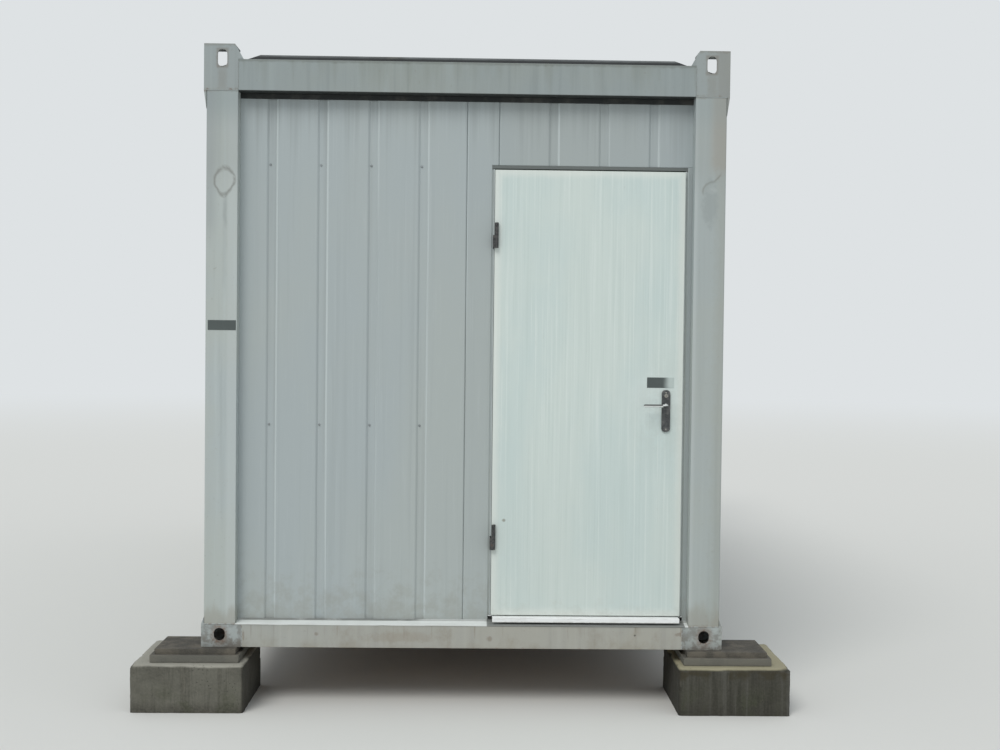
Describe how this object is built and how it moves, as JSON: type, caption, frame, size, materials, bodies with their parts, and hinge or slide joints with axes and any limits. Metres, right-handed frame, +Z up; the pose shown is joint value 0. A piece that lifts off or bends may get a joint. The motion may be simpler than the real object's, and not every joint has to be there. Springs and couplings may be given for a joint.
{
  "type": "portable site cabin",
  "caption": "Steel framed portable site cabin with ribbed sandwich panel walls and one outward opening end door, on concrete blocks.",
  "frame": {"origin": "on the ground under the middle of the cabin", "axes": "+Z up, +Y along the cabin away from the door end, +X to the right seen from the door end"},
  "size_m": [3.044, 6.288, 3.08],
  "materials": {
    "concrete": "rough cast",
    "packing": "matt",
    "frame_paint": "satin, weathered",
    "galvanised": "dull zinc",
    "floor_board": "matt vinyl on board",
    "ceiling_board": "matt",
    "roof_steel": "dull, dirty",
    "panel_paint": "satin",
    "flashing": "satin",
    "door_frame_paint": "satin",
    "sill_white": "satin",
    "hinge_steel": "dull",
    "door_paint": "satin, scuffed",
    "handle_metal": "dull",
    "lock_metal": "dull nickel"
  },
  "bodies": {
    "cabin": {"concrete_blocks": "concrete", "packing_plates": "packing", "bottom_casting_front_left": "frame_paint", "bottom_casting_front_right": "frame_paint", "bottom_casting_rear_left": "frame_paint", "bottom_casting_rear_right": "frame_paint", "post_front_left": "frame_paint", "post_front_right": "frame_paint", "post_rear_left": "frame_paint", "post_rear_right": "frame_paint", "top_head_front_left": "frame_paint", "top_head_front_right": "frame_paint", "top_head_rear_left": "frame_paint", "top_head_rear_right": "frame_paint", "floor_rail_front": "frame_paint", "floor_rail_rear": "frame_paint", "floor_rail_left": "frame_paint", "floor_rail_right": "frame_paint", "floor_joists": "galvanised", "floor_deck": "floor_board", "roof_rail_front": "frame_paint", "roof_rail_rear": "frame_paint", "roof_rail_left": "frame_paint", "roof_rail_right": "frame_paint", "ceiling_board": "ceiling_board", "roof_sheet": "roof_steel", "roof_end_front": "roof_steel", "roof_end_rear": "roof_steel", "front_wall_left": "panel_paint", "front_wall_infill": "panel_paint", "front_wall_lintel": "panel_paint", "front_wall_jamb": "panel_paint", "rear_wall": "panel_paint", "left_wall": "panel_paint", "right_wall": "panel_paint", "drip_flashing": "flashing", "door_frame": "door_frame_paint", "door_sill": "sill_white", "hinge_pins": "hinge_steel"},
    "door": {"hinge_knuckles": "hinge_steel", "door_leaf": "door_paint", "handle_plates": "handle_metal", "lock_cylinder": "lock_metal"},
    "lever": {"lever_handle": "handle_metal"}
  },
  "joints": [
    {"name": "door_hinge", "type": "hinge", "parent": "cabin", "child": "door", "pos_m": [0.141, -2.993, 0.428], "axis": [0, 0, -1], "range_deg": [0, 170]},
    {"name": "lever_turn", "type": "hinge", "parent": "door", "child": "lever", "pos_m": [0.947, -2.959, 1.426], "axis": [0, -1, 0], "range_deg": [0, 40], "stiffness_Nm_per_rad": 1.5}
  ]
}
